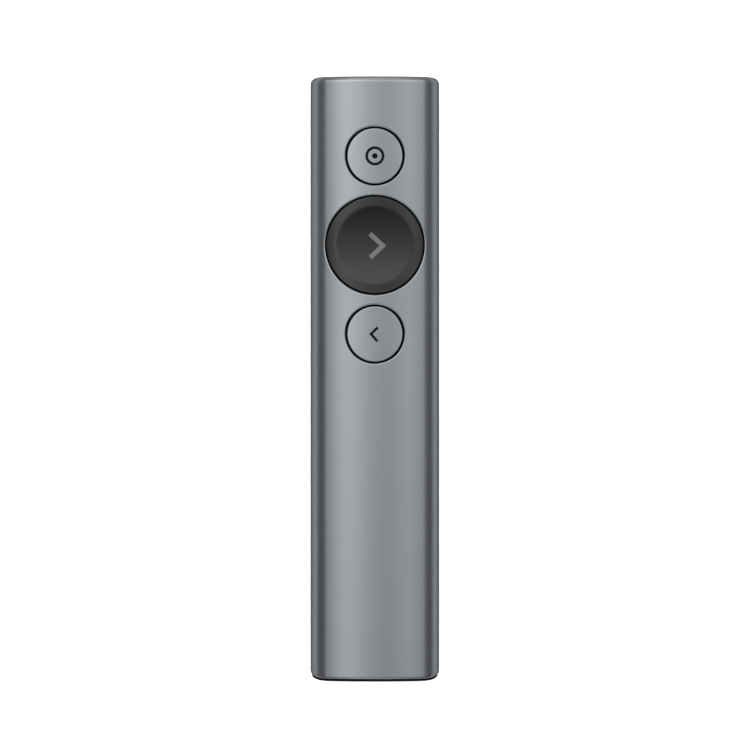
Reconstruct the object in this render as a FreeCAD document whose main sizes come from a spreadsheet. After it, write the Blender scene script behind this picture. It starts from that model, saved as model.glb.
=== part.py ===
import FreeCAD, Part
import os
import re

import Sketcher
from FreeCAD import Placement, Rotation, Vector

# Wireless presentation clicker: an extruded aluminium sleeve with two crowned faces,
# three round buttons, and a plug-in receiver that is stored in the tail.
# X runs across the clicker, Y along it towards the nose, Z out of the button face.
# The origin is at the middle of the flat land that the clicker rests on.

doc = FreeCAD.newDocument("presentation_clicker")
sheet = doc.addObject("Spreadsheet::Sheet", "Sizes")

DRIVING = {
    # Sleeve
    "body_length": "131.3",
    "body_width": "28.1",
    "crown_height": "11.9",
    "crown_radius": "40",
    "land_depth": "0.1",
    "sleeve_wall": "1.3",
    "nose_round": "1.2",
    "tail_round": "0.6",
    "opening_bevel": "0.2",
    "cut_past": "1",
    # Buttons, as places along the length and sizes across
    "pointer_from_nose": "17.35",
    "button_pitch": "19.3",
    "small_cap_across": "12",
    "next_cap_across": "20.95",
    "cap_gap": "0.45",
    "cap_height": "1.95",
    "cap_skirt": "0.8",
    "cap_roof": "1.15",
    "cap_edge_bevel": "0.12",
    "next_proud": "0.2",
    "dish_across": "16.8",
    "glue_gap": "0.05",
    # Plungers under the caps
    "stem_across": "2.4",
    "leg_width": "2.6",
    "leg_thick": "0.7",
    "leg_edge": "0.8",
    "hook_reach": "0.4",
    "hook_tall": "0.6",
    "hook_gap": "0.1",
    "leg_gap": "0.1",
    # Switch domes
    "small_dome_across": "5",
    "next_dome_across": "7",
    "dome_top_across": "2.8",
    "dome_tall": "0.6",
    "dome_sheet": "0.12",
    "dome_gap": "0.05",
    # Button frame and its screws
    "frame_depth": "2.6",
    "frame_thick": "0.8",
    "frame_past_caps": "3.2",
    "screw_across": "1.4",
    "screw_head_across": "2.6",
    "screw_head_tall": "0.5",
    "screw_long": "5.6",
    "screw_gap": "0.1",
    "screw_apart": "13.2",
    "screw_span": "24",
    "boss_across": "3.2",
    # Chassis tray
    "slide_gap": "0.15",
    "tray_wall": "1",
    "bay_floor": "1.55",
    "rib_thick": "0.8",
    "shelf_long": "4",
    "shelf_tall": "1",
    "shelf_deep": "1.3",
    "shelf_pitch": "16.5",
    # Circuit board
    "board_thick": "0.8",
    "board_side_gap": "0.5",
    "board_nose_gap": "2.2",
    "board_tail_gap": "0.2",
    "radio_chip_side": "6",
    "sensor_chip_side": "3",
    "memory_chip_long": "5",
    "memory_chip_wide": "4",
    "crystal_long": "2.5",
    "crystal_wide": "2",
    "chip_tall": "0.8",
    "chip_step": "1.5",
    "antenna_long": "7",
    "antenna_wide": "2",
    "antenna_tall": "0.8",
    "antenna_edge": "0.4",
    # Battery
    "cell_long": "28",
    "cell_wide": "14",
    "cell_tall": "2.4",
    "cell_round": "0.9",
    "cell_pad": "0.3",
    "cell_gap": "0.2",
    "cell_from_port": "2.4",
    "lead_across": "0.7",
    "lead_apart": "3",
    "lead_bend": "1",
    # Vibration motor
    "motor_across": "8",
    "motor_tall": "2.5",
    "motor_from_nose": "11.5",
    "motor_cup": "1.2",
    "motor_gap": "0.15",
    # Nose cap
    "nose_sink": "0.3",
    "nose_plate": "1.6",
    "nose_skirt_deep": "1.5",
    "nose_skirt": "0.8",
    "plug_gap": "0.05",
    # Tail cap
    "lip_thick": "0.45",
    "lip_inset": "0.3",
    "lip_bevel": "0.3",
    "tail_plug_deep": "2.8",
    # Dock for the receiver
    "dock_wall": "0.7",
    "dock_play": "0.25",
    "dock_web": "0.9",
    "dock_box_wall": "0.85",
    "seat_gap": "0.1",
    "plug_play": "0.3",
    "plug_end_gap": "0.25",
    "dock_window_long": "8",
    "spring_thick": "0.2",
    "spring_bow": "14",
    "spring_tall": "3",
    "spring_gap": "0.05",
    # Receiver
    "head_long": "7",
    "head_bevel": "0.3",
    "nail_slot_long": "9",
    "nail_slot_wide": "1.4",
    "nail_slot_deep": "0.9",
    "nail_slot_rise": "1.9",
    "plug_wide": "12",
    "plug_tall": "4.5",
    "plug_long": "12",
    "plug_sheet": "0.3",
    "plug_root_deep": "2.5",
    "window_wide": "2.2",
    "window_long": "2.4",
    "window_apart": "5.2",
    "window_from_tip": "4",
    "tongue_end_gap": "0.4",
    "contact_thick": "0.15",
    "contact_wide": "1.2",
    "contact_long": "7.2",
    "contact_from_tip": "1.2",
    "contact_pitch": "2.5",
    "stick_board_thick": "0.7",
    "stick_board_root": "5",
    # Charging port
    "port_wide": "8.94",
    "port_tall": "3.16",
    "port_long": "7.35",
    "port_sheet": "0.3",
    "port_gap": "0.1",
    "port_tab": "1.2",
    "port_tab_thick": "0.2",
    "port_tongue_wide": "6.7",
    "port_tongue_thick": "0.7",
    "port_tongue_sink": "0.8",
}
for line, (name, value) in enumerate(DRIVING.items(), start=1):
    sheet.set(f"A{line}", name)
    sheet.set(f"B{line}", value)
    sheet.setAlias(f"B{line}", name)
doc.recompute()

# Places that several pieces share, as formulas in the sheet's words

HALF_LENGTH = "body_length / 2"
HALF_WIDTH = "body_width / 2"
HALF_THICK = "(crown_height + land_depth) / 2"
MID_HEIGHT = "(crown_height - land_depth) / 2"
SIDE_RADIUS = (
    f"(2 * crown_radius * {HALF_THICK} - ({HALF_THICK})^2 - ({HALF_WIDTH})^2)"
    f" / (2 * (crown_radius - {HALF_WIDTH}))"
)

POINTER_PLACE = f"({HALF_LENGTH} - pointer_from_nose)"
NEXT_PLACE = f"({HALF_LENGTH} - pointer_from_nose - button_pitch)"
BACK_PLACE = f"({HALF_LENGTH} - pointer_from_nose - 2 * button_pitch)"

CAP_BOTTOM = "(crown_height - cap_height)"
FRAME_TOP = "(crown_height - frame_depth)"
FRAME_BOTTOM = "(crown_height - frame_depth - frame_thick)"
TRAY_BOTTOM = "(sleeve_wall - land_depth + slide_gap)"
FLOOR = f"({TRAY_BOTTOM} + bay_floor)"
CELL_BOTTOM = f"({FLOOR} + cell_pad)"
BOARD_BOTTOM = f"({CELL_BOTTOM} + cell_tall + cell_gap)"
BOARD_TOP = f"({BOARD_BOTTOM} + board_thick)"
BOARD_HALF = f"({HALF_WIDTH} - sleeve_wall - slide_gap - tray_wall - board_side_gap)"

TAIL = f"(-{HALF_LENGTH})"
SLEEVE_TAIL = f"({TAIL} + lip_thick)"
DOCK_TAIL = f"({SLEEVE_TAIL} + tail_plug_deep)"
HEAD_ROOT = f"({TAIL} + head_long)"
DOCK_SEAT = f"({HEAD_ROOT} + seat_gap)"
DOCK_BOX = f"({DOCK_SEAT} + dock_web)"
PLUG_TIP = f"({HEAD_ROOT} + plug_long)"
POCKET_END = f"({PLUG_TIP} + plug_end_gap)"
DOCK_END = f"({POCKET_END} + dock_box_wall)"
PORT_BACK = f"({POCKET_END} + port_long)"
CELL_TAIL = f"({PORT_BACK} + cell_from_port)"
CELL_NOSE = f"({CELL_TAIL} + cell_long)"
TRAY_NOSE = f"({HALF_LENGTH} - nose_sink - nose_plate - nose_skirt_deep)"
BOARD_NOSE = f"({TRAY_NOSE} - board_nose_gap)"
BOARD_TAIL = f"({DOCK_END} + board_tail_gap)"
FRAME_NOSE = f"({POINTER_PLACE} + small_cap_across / 2 + frame_past_caps)"
FRAME_TAIL = f"({BACK_PLACE} - small_cap_across / 2 - frame_past_caps)"
MOTOR_PLACE = f"({HALF_LENGTH} - motor_from_nose)"

SLEEVE_BORE = "sleeve_wall"
TRAY_OUTSIDE = "sleeve_wall + slide_gap"
TRAY_INSIDE = "sleeve_wall + slide_gap + tray_wall"
DOCK_MOUTH = "sleeve_wall + slide_gap + dock_wall"
HEAD_OUTSIDE = "sleeve_wall + slide_gap + dock_wall + dock_play"


def size(name):
    """The number in the sheet's cell of that name."""
    return float(sheet.get(name))


def link(text):
    """A formula with each word of the sheet written as a reference to its cell."""
    return re.sub(r"[a-z]\w+", lambda word: "Sizes." + word.group() if word.group() in DRIVING
                  else word.group(), str(text))


def bind(feature, **formulas):
    """Tie a feature's properties to the sheet. Two underscores stand for a dot."""
    for name, text in formulas.items():
        feature.setExpression(name.replace("__", "."), link(text))


parts = {}


def new_body(name):
    """An empty body, which becomes the node of that name."""
    body = doc.addObject("PartDesign::Body", name)
    parts[name] = body
    return body


def keep(name, feature):
    """Make a finished Part feature the node of that name."""
    feature.Label = name
    parts[name] = feature
    return feature


def sketch_across(body, place):
    """A sketch on the body's XZ plane at that place along Y. Its pads run towards the tail."""
    return sketch_on(body, "XZ_Plane", f"-({place})")


def sketch_flat(body, height):
    """A sketch on the body's XY plane at that height. Its pads run upwards."""
    return sketch_on(body, "XY_Plane", height)


def sketch_on(body, role, away):
    """A sketch on one of the body's own planes, moved along that plane's normal."""
    plane = next(item for item in body.Origin.OriginFeatures if item.Role == role)
    sketch = body.newObject("Sketcher::SketchObject", body.Name + "_sketch")
    sketch.AttachmentSupport = [(plane, "")]
    sketch.MapMode = "FlatFace"
    bind(sketch, AttachmentOffset__Base__z=away)
    return sketch


def dimension(sketch, kind, *where, formula):
    """Add a dimension with the value that it has as drawn, then drive it from the sheet."""
    if kind == "Radius":
        drawn = sketch.Geometry[where[0]].Radius
    else:
        point = sketch.getPoint(where[2], where[3])
        drawn = point.x if kind == "DistanceX" else point.y
    index = sketch.addConstraint(Sketcher.Constraint(kind, *where, drawn))
    sketch.setExpression(f"Constraints[{index}]", link(formula))


def at_point(sketch, geometry, vertex, across, along):
    """Hold a point of the sketch at a place, each way a formula, or 0 for on the axis."""
    if across == "0":
        sketch.addConstraint(Sketcher.Constraint("PointOnObject", geometry, vertex, -2))
    else:
        dimension(sketch, "DistanceX", -1, 1, geometry, vertex, formula=across)
    if along == "0":
        sketch.addConstraint(Sketcher.Constraint("PointOnObject", geometry, vertex, -1))
    else:
        dimension(sketch, "DistanceY", -1, 1, geometry, vertex, formula=along)


def circle(sketch, across, along, radius):
    """A circle about that point."""
    index = sketch.addGeometry(Part.Circle(Vector(1, 1, 0), Vector(0, 0, 1), 1))
    at_point(sketch, index, 3, across, along)
    dimension(sketch, "Radius", index, formula=radius)


def rectangle(sketch, left, right, low, high):
    """A rectangle between those four lines."""
    corners = [Vector(1, 1, 0), Vector(2, 1, 0), Vector(2, 2, 0), Vector(1, 2, 0)]
    first = sketch.GeometryCount
    for number in range(4):
        sketch.addGeometry(Part.LineSegment(corners[number], corners[(number + 1) % 4]))
    for number in range(4):
        following = first + (number + 1) % 4
        sketch.addConstraint(Sketcher.Constraint("Coincident", first + number, 2, following, 1))
    for number, kind in enumerate(("Horizontal", "Vertical", "Horizontal", "Vertical")):
        sketch.addConstraint(Sketcher.Constraint(kind, first + number))
    at_point(sketch, first, 1, left, low)
    at_point(sketch, first + 1, 2, right, high)


def crowned_oval(sketch, inset="0"):
    """The sleeve's section moved inwards: two wide crowns joined by tangent round sides."""
    inward = sum(size(word) for word in re.findall(r"[a-z]\w+", inset))
    crown = size("crown_radius") - inward
    half_width = size("body_width") / 2 - inward
    half_thick = (size("crown_height") + size("land_depth")) / 2 - inward
    middle = (size("crown_height") - size("land_depth")) / 2
    side = (2 * crown * half_thick - half_thick ** 2 - half_width ** 2) / (2 * (crown - half_width))
    side_middle = half_width - side
    crown_drop = crown - half_thick
    turn = Vector(side_middle, crown_drop, 0).normalize()
    edge = Vector(0, -crown_drop, 0) + turn * crown

    def through(start, by, end):
        return Part.Arc(Vector(*start, 0), Vector(*by, 0), Vector(*end, 0))

    right, top = edge.x, middle + edge.y
    left, bottom = -right, middle - edge.y
    first = sketch.GeometryCount
    sketch.addGeometry(through((right, top), (0, middle + half_thick), (left, top)))
    sketch.addGeometry(through((left, top), (-half_width, middle), (left, bottom)))
    sketch.addGeometry(through((left, bottom), (0, middle - half_thick), (right, bottom)))
    sketch.addGeometry(through((right, bottom), (half_width, middle), (right, top)))
    for number in range(4):
        following = first + (number + 1) % 4
        sketch.addConstraint(Sketcher.Constraint("Tangent", first + number, 2, following, 1))
    dimension(sketch, "Radius", first, formula=f"crown_radius - ({inset})")
    dimension(sketch, "Radius", first + 2, formula=f"crown_radius - ({inset})")
    dimension(sketch, "Radius", first + 1, formula=f"{SIDE_RADIUS} - ({inset})")
    dimension(sketch, "Radius", first + 3, formula=f"{SIDE_RADIUS} - ({inset})")
    at_point(sketch, first, 3, "0", "crown_height - crown_radius")
    at_point(sketch, first + 2, 3, "0", "crown_radius - land_depth")


def pad(body, sketch, length, back=False):
    """Pad the sketch along its normal, or against it."""
    return swept_feature(body, sketch, "PartDesign::Pad", length, back)


def pocket(body, sketch, length, back=False):
    """Pocket the sketch against its normal, or along it, and see that it took something."""
    doc.recompute()
    before = body.Shape.Volume
    feature = swept_feature(body, sketch, "PartDesign::Pocket", length, back)
    if body.Shape.Volume > before - 1e-4:
        raise RuntimeError(f"{feature.Name} cuts nothing")
    return feature


def swept_feature(body, sketch, kind, length, back):
    """One pad or pocket of a given length."""
    feature = body.newObject(kind, body.Name + "_" + kind.split("::")[1])
    feature.Profile = sketch
    feature.Reversed = back
    bind(feature, Length=length)
    doc.recompute()
    return feature


def edge_names(shape, wanted):
    """The names of the edges for which the test holds."""
    return [f"Edge{number}" for number, edge in enumerate(shape.Edges, start=1) if wanted(edge)]


def outer_rim(shape, place):
    """The edges round the outside of the flat end face that lies at that place along Y."""
    ends = [face for face in shape.Faces
            if face.BoundBox.YLength < 1e-6 and abs(face.BoundBox.YMin - place) < 1e-4]
    widest = max(ends, key=lambda face: face.BoundBox.XLength)
    rim = widest.OuterWire.Edges
    return edge_names(shape, lambda edge: any(edge.isSame(other) for other in rim))


def dress(body, kind, names, **formulas):
    """Add a fillet or chamfer to the body's last feature."""
    base = body.Tip
    feature = body.newObject(kind, body.Name + "_" + kind.split("::")[1])
    feature.Base = (base, names)
    bind(feature, **formulas)
    doc.recompute()
    return feature


def cylinder(name, radius, height, x="0", y="0", z="0"):
    """An upright cylinder that stands on the point given."""
    item = doc.addObject("Part::Cylinder", name)
    bind(item, Radius=radius, Height=height)
    bind(item, Placement__Base__x=x, Placement__Base__y=y, Placement__Base__z=z)
    return item


def box(name, x, y, z, length, width, height):
    """A box from its lowest corner."""
    item = doc.addObject("Part::Box", name)
    bind(item, Length=length, Width=width, Height=height)
    bind(item, Placement__Base__x=x, Placement__Base__y=y, Placement__Base__z=z)
    return item


def boolean(kind, name, base, tool):
    """Cut, common or fuse two features."""
    item = doc.addObject("Part::" + kind, name)
    item.Base = base
    item.Tool = tool
    return item


def group(name, items):
    """Separate solids of one kind that share a node."""
    item = doc.addObject("Part::Compound", name)
    item.Links = items
    return keep(name, item)


# Sleeve: extruded tube, ends rounded, three openings cut through the front wall

sleeve = new_body("sleeve")
section = sketch_across(sleeve, HALF_LENGTH)
crowned_oval(section)
crowned_oval(section, SLEEVE_BORE)
pad(sleeve, section, "body_length - lip_thick")
half_length = size("body_length") / 2
dress(sleeve, "PartDesign::Fillet", outer_rim(sleeve.Shape, half_length), Radius="nose_round")
tail_end = size("lip_thick") - half_length
dress(sleeve, "PartDesign::Fillet", outer_rim(sleeve.Shape, tail_end), Radius="tail_round")

land = sketch_across(sleeve, TAIL)
rectangle(land, f"-{HALF_WIDTH}", HALF_WIDTH, "-land_depth - cut_past", "0")
pocket(sleeve, land, "body_length")

openings = sketch_flat(sleeve, MID_HEIGHT)
circle(openings, "0", POINTER_PLACE, "small_cap_across / 2 + cap_gap")
circle(openings, "0", NEXT_PLACE, "next_cap_across / 2 + cap_gap")
circle(openings, "0", BACK_PLACE, "small_cap_across / 2 + cap_gap")
pocket(sleeve, openings, "crown_height", back=True)


def opening_edge(edge):
    """True for the edges where the walls of the openings meet the outer surface."""
    middle = edge.valueAt((edge.FirstParameter + edge.LastParameter) / 2)
    crown_radius = size("crown_radius")
    drop = crown_radius - (crown_radius ** 2 - middle.x ** 2) ** 0.5
    on_outside = middle.z > size("crown_height") - drop - size("sleeve_wall") / 2
    wall_of_opening = edge.BoundBox.YLength > 1 and abs(middle.y) < half_length - size("nose_round") * 2
    return on_outside and wall_of_opening and edge.BoundBox.YLength < size("body_length") / 2


dress(sleeve, "PartDesign::Chamfer", edge_names(sleeve.Shape, opening_edge), Size="opening_bevel")
if not sleeve.Shape.isInside(Vector(0, 0, size("sleeve_wall") / 2), 1e-6, False):
    raise RuntimeError("the back wall of the sleeve is open")

# Nose cap: moulded plug in the nose, with a skirt that goes into the bore

nose_cap = new_body("nose_cap")
face = sketch_across(nose_cap, f"{HALF_LENGTH} - nose_sink")
crowned_oval(face, "sleeve_wall + plug_gap")
pad(nose_cap, face, "nose_plate")
skirt = sketch_across(nose_cap, f"{HALF_LENGTH} - nose_sink - nose_plate")
crowned_oval(skirt, "sleeve_wall + plug_gap")
crowned_oval(skirt, "sleeve_wall + plug_gap + nose_skirt")
pad(nose_cap, skirt, "nose_skirt_deep")

# Tail cap: thin lip over the end of the sleeve and a plug in the bore, open for the receiver

tail_cap = new_body("tail_cap")
plug = sketch_across(tail_cap, DOCK_TAIL)
crowned_oval(plug, "sleeve_wall + plug_gap")
crowned_oval(plug, DOCK_MOUTH)
pad(tail_cap, plug, "tail_plug_deep")
lip = sketch_across(tail_cap, SLEEVE_TAIL)
crowned_oval(lip, "lip_inset")
crowned_oval(lip, DOCK_MOUTH)
pad(tail_cap, lip, "lip_thick")
dress(tail_cap, "PartDesign::Chamfer", outer_rim(tail_cap.Shape, -half_length), Size="lip_bevel")

# Receiver dock: moulding behind the tail cap, a wide seat for the head and a box for the plug

receiver_dock = new_body("receiver_dock")
seat = sketch_across(receiver_dock, DOCK_BOX)
crowned_oval(seat, TRAY_OUTSIDE)
pad(receiver_dock, seat, f"{DOCK_BOX} - {DOCK_TAIL}")
BOX_HALF_WIDTH = "(plug_wide / 2 + plug_play + dock_box_wall)"
BOX_HALF_TALL = "(plug_tall / 2 + plug_play + dock_box_wall)"
box_outside = sketch_across(receiver_dock, DOCK_END)
rectangle(box_outside, f"-{BOX_HALF_WIDTH}", BOX_HALF_WIDTH,
          f"{MID_HEIGHT} - {BOX_HALF_TALL}", f"{MID_HEIGHT} + {BOX_HALF_TALL}")
pad(receiver_dock, box_outside, f"{DOCK_END} - {DOCK_BOX}")
mouth = sketch_across(receiver_dock, DOCK_TAIL)
crowned_oval(mouth, DOCK_MOUTH)
pocket(receiver_dock, mouth, f"{DOCK_SEAT} - {DOCK_TAIL}")
plug_hole = sketch_across(receiver_dock, DOCK_SEAT)
rectangle(plug_hole, "-(plug_wide / 2 + plug_play)", "plug_wide / 2 + plug_play",
          f"{MID_HEIGHT} - plug_tall / 2 - plug_play", f"{MID_HEIGHT} + plug_tall / 2 + plug_play")
pocket(receiver_dock, plug_hole, f"{POCKET_END} - {DOCK_SEAT}")
port_hole = sketch_across(receiver_dock, POCKET_END)
rectangle(port_hole, "-(port_wide / 2 + port_gap)", "port_wide / 2 + port_gap",
          f"{MID_HEIGHT} - port_tall / 2 - port_gap", f"{MID_HEIGHT} + port_tall / 2 + port_gap")
pocket(receiver_dock, port_hole, "dock_box_wall")
DOCK_WINDOW_MIDDLE = f"(({DOCK_BOX} + {PLUG_TIP}) / 2)"
windows = sketch_flat(receiver_dock, f"{MID_HEIGHT} + spring_tall / 2 + spring_gap")
rectangle(windows, f"-{BOX_HALF_WIDTH} - cut_past", f"{BOX_HALF_WIDTH} + cut_past",
          f"{DOCK_WINDOW_MIDDLE} - dock_window_long / 2",
          f"{DOCK_WINDOW_MIDDLE} + dock_window_long / 2")
pocket(receiver_dock, windows, "spring_tall + 2 * spring_gap")

# Leaf springs in the windows of the dock, bowed in towards the plug

SPRING_MIDDLE = "(plug_wide / 2 + spring_gap + spring_bow)"
leaves = []
for side, sign in (("left", "-1"), ("right", "1")):
    bow = cylinder(f"{side}_bow", "spring_bow", "spring_tall", f"{sign} * {SPRING_MIDDLE}",
                   DOCK_WINDOW_MIDDLE, f"{MID_HEIGHT} - spring_tall / 2")
    inner = cylinder(f"{side}_bow_inner", "spring_bow - spring_thick", "spring_tall",
                     f"{sign} * {SPRING_MIDDLE}", DOCK_WINDOW_MIDDLE,
                     f"{MID_HEIGHT} - spring_tall / 2")
    ring = boolean("Cut", f"{side}_ring", bow, inner)
    span = box(f"{side}_span", f"{sign} * {BOX_HALF_WIDTH} - dock_box_wall * 2",
               f"{DOCK_WINDOW_MIDDLE} - dock_window_long / 2 + spring_gap",
               f"{MID_HEIGHT} - spring_tall / 2", "4 * dock_box_wall",
               "dock_window_long - 2 * spring_gap", "spring_tall")
    leaves.append(boolean("Common", f"{side}_leaf", ring, span))
group("dock_springs", leaves)

# Chassis: moulded tray that slides into the sleeve between the dock and the nose cap

chassis = new_body("chassis")
tray = sketch_across(chassis, TRAY_NOSE)
crowned_oval(tray, TRAY_OUTSIDE)
crowned_oval(tray, TRAY_INSIDE)
pad(chassis, tray, f"{TRAY_NOSE} - {DOCK_END}")
above = sketch_across(chassis, DOCK_END)
rectangle(above, f"-{HALF_WIDTH}", HALF_WIDTH, FRAME_BOTTOM, "crown_height")
pocket(chassis, above, "body_length")
FLOOR_HALF = "(cell_wide / 2 - tray_wall / 2)"
floor = sketch_across(chassis, TRAY_NOSE)
rectangle(floor, f"-{FLOOR_HALF}", FLOOR_HALF, f"{TRAY_BOTTOM} + tray_wall / 2", FLOOR)
pad(chassis, floor, f"{TRAY_NOSE} - {DOCK_END}")

cross_ribs = sketch_flat(chassis, f"{FLOOR} - tray_wall / 2")
for low in (f"{CELL_TAIL} - cell_gap - rib_thick", f"{CELL_NOSE} + 2 * lead_bend + lead_across"):
    rectangle(cross_ribs, f"-{FLOOR_HALF}", FLOOR_HALF, low, f"{low} + rib_thick")
pad(chassis, cross_ribs, f"{BOARD_BOTTOM} - {FLOOR} + tray_wall / 2")

shelves = sketch_flat(chassis, f"{BOARD_BOTTOM} - shelf_tall")
SHELF_OUTER = f"({HALF_WIDTH} - sleeve_wall - slide_gap - tray_wall / 2)"
for left, right in ((f"{BOARD_HALF} - shelf_deep", SHELF_OUTER),
                    (f"-{SHELF_OUTER}", f"-{BOARD_HALF} + shelf_deep")):
    rectangle(shelves, left, right, f"{BOARD_TAIL}", f"{BOARD_TAIL} + shelf_long")
first_shelves = pad(chassis, shelves, "shelf_tall")
row_of_shelves = chassis.newObject("PartDesign::LinearPattern", "chassis_shelf_row")
row_of_shelves.Originals = [first_shelves]
row_of_shelves.Direction = (shelves, ["V_Axis"])
shelf_room = size("body_length") - 2 * size("head_long") - size("plug_long") - size("shelf_long")
row_of_shelves.Occurrences = int(shelf_room / size("shelf_pitch")) + 1
row_of_shelves.Mode = "Spacing"
bind(row_of_shelves, Offset="shelf_pitch")
chassis.Tip = row_of_shelves
doc.recompute()

SCREW_PLACES = [(across, along)
                for across in ("-screw_apart / 2", "screw_apart / 2")
                for along in (f"{NEXT_PLACE} - screw_span / 2", f"{NEXT_PLACE} + screw_span / 2")]
bosses = sketch_flat(chassis, f"{TRAY_BOTTOM} + tray_wall")
for across, along in SCREW_PLACES:
    circle(bosses, across, along, "boss_across / 2")
pad(chassis, bosses, f"{BOARD_BOTTOM} - {TRAY_BOTTOM} - tray_wall")
boss_holes = sketch_flat(chassis, BOARD_BOTTOM)
for across, along in SCREW_PLACES:
    circle(boss_holes, across, along, "screw_across / 2 + glue_gap")
pocket(chassis, boss_holes, f"{BOARD_BOTTOM} - {FLOOR} + tray_wall / 2")

motor_cup = sketch_flat(chassis, f"{FLOOR} - tray_wall / 2")
circle(motor_cup, "0", MOTOR_PLACE, "motor_across / 2 + motor_gap + rib_thick")
circle(motor_cup, "0", MOTOR_PLACE, "motor_across / 2 + motor_gap")
pad(chassis, motor_cup, "motor_cup + tray_wall / 2")

# Circuit board, notched at the tail for the charging port

main_board = new_body("main_board")
outline = sketch_flat(main_board, BOARD_BOTTOM)
rectangle(outline, f"-{BOARD_HALF}", BOARD_HALF, BOARD_TAIL, BOARD_NOSE)
for across, along in SCREW_PLACES:
    circle(outline, across, along, "screw_across / 2 + screw_gap")
pad(main_board, outline, "board_thick")
notch = sketch_flat(main_board, BOARD_TOP)
rectangle(notch, "-(port_wide / 2 + port_gap)", "port_wide / 2 + port_gap",
          f"{BOARD_TAIL} - cut_past", f"{PORT_BACK} + port_gap")
pocket(main_board, notch, "board_thick")

# Chips under the board and the antenna on top of it, at the nose

CHIPS = {
    "radio_chip": ("-radio_chip_side / 2", f"{NEXT_PLACE} - chip_step",
                   "radio_chip_side", "radio_chip_side"),
    "sensor_chip": ("-radio_chip_side", f"{NEXT_PLACE} + 4 * chip_step",
                    "sensor_chip_side", "sensor_chip_side"),
    "memory_chip": ("chip_step", BACK_PLACE, "memory_chip_wide", "memory_chip_long"),
    "charger_chip": ("-radio_chip_side", f"{BACK_PLACE} - chip_step",
                     "sensor_chip_side", "sensor_chip_side"),
    "motor_driver": ("2 * chip_step", f"{NEXT_PLACE} + 7 * chip_step", "crystal_wide", "crystal_wide"),
    "crystal": ("radio_chip_side / 2 + chip_step", NEXT_PLACE, "crystal_long", "crystal_wide"),
}
group("board_chips", [
    box(name, x, y, f"{BOARD_BOTTOM} - chip_tall", wide, long, "chip_tall")
    for name, (x, y, wide, long) in CHIPS.items()
])
keep("antenna", box("antenna", "-antenna_long / 2", f"{BOARD_NOSE} - antenna_wide - antenna_edge",
                    BOARD_TOP, "antenna_long", "antenna_wide", "antenna_tall"))

# Charging port in the notch of the board, its mouth at the deep end of the dock


def stadium(sketch, half_width, half_tall):
    """A flat oval about the middle of the section: straight top and bottom, round ends."""
    middle = (size("crown_height") - size("land_depth")) / 2
    wide, tall = size("port_wide") / 2, size("port_tall") / 2
    flat = wide - tall
    first = sketch.GeometryCount
    top, bottom = middle + tall, middle - tall

    def at(x, z):
        return Vector(x, z, 0)

    sketch.addGeometry(Part.LineSegment(at(flat, top), at(-flat, top)))
    sketch.addGeometry(Part.Arc(at(-flat, top), at(-wide, middle), at(-flat, bottom)))
    sketch.addGeometry(Part.LineSegment(at(-flat, bottom), at(flat, bottom)))
    sketch.addGeometry(Part.Arc(at(flat, bottom), at(wide, middle), at(flat, top)))
    for number in range(4):
        following = first + (number + 1) % 4
        sketch.addConstraint(Sketcher.Constraint("Tangent", first + number, 2, following, 1))
    sketch.addConstraint(Sketcher.Constraint("Horizontal", first))
    sketch.addConstraint(Sketcher.Constraint("Horizontal", first + 2))
    dimension(sketch, "Radius", first + 1, formula=half_tall)
    at_point(sketch, first + 1, 3, f"-({half_width} - ({half_tall}))", MID_HEIGHT)
    dimension(sketch, "DistanceX", -1, 1, first + 3, 3, formula=f"{half_width} - ({half_tall})")


charging_port_shell = new_body("charging_port_shell")
shell_ring = sketch_across(charging_port_shell, PORT_BACK)
stadium(shell_ring, "port_wide / 2", "port_tall / 2")
pad(charging_port_shell, shell_ring, "port_long")
shell_bore = sketch_across(charging_port_shell, POCKET_END)
stadium(shell_bore, "port_wide / 2 - port_sheet", "port_tall / 2 - port_sheet")
pocket(charging_port_shell, shell_bore, "port_long - port_sheet")
tabs = sketch_flat(charging_port_shell, BOARD_TOP)
for low in (f"{BOARD_TAIL} + port_tab", f"{PORT_BACK} - 1.5 * port_tab"):
    for left, right in (("-(port_wide / 2 + port_tab)", "-(port_wide / 2 - port_sheet)"),
                        ("port_wide / 2 - port_sheet", "port_wide / 2 + port_tab")):
        rectangle(tabs, left, right, low, f"{low} + port_tab")
pad(charging_port_shell, tabs, "port_tab_thick")

charging_port_tongue = new_body("charging_port_tongue")
tongue_block = sketch_across(charging_port_tongue, f"{PORT_BACK} - port_sheet")
stadium(tongue_block, "port_wide / 2 - port_sheet - glue_gap", "port_tall / 2 - port_sheet - glue_gap")
pad(charging_port_tongue, tongue_block, "port_tongue_sink")
tongue_blade = sketch_across(charging_port_tongue, f"{PORT_BACK} - port_sheet - port_tongue_sink")
rectangle(tongue_blade, "-port_tongue_wide / 2", "port_tongue_wide / 2",
          f"{MID_HEIGHT} - port_tongue_thick / 2", f"{MID_HEIGHT} + port_tongue_thick / 2")
pad(charging_port_tongue, tongue_blade, "port_long - port_sheet - 2 * port_tongue_sink")

# Battery on its foam pad, with two leads up to the board

battery = new_body("battery")
cell = sketch_across(battery, CELL_NOSE)
rectangle(cell, "-cell_wide / 2", "cell_wide / 2", CELL_BOTTOM, f"{CELL_BOTTOM} + cell_tall")
pad(battery, cell, "cell_long")
long_edges = edge_names(battery.Shape, lambda edge: edge.BoundBox.YLength > size("cell_long") - 1e-3)
dress(battery, "PartDesign::Fillet", long_edges, Radius="cell_round")

keep("battery_pad", box("battery_pad", "-cell_wide / 2 + 2 * tray_wall", f"{CELL_TAIL} + tray_wall",
                        FLOOR, "cell_wide - 4 * tray_wall", "cell_long - 2 * tray_wall", "cell_pad"))

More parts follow.
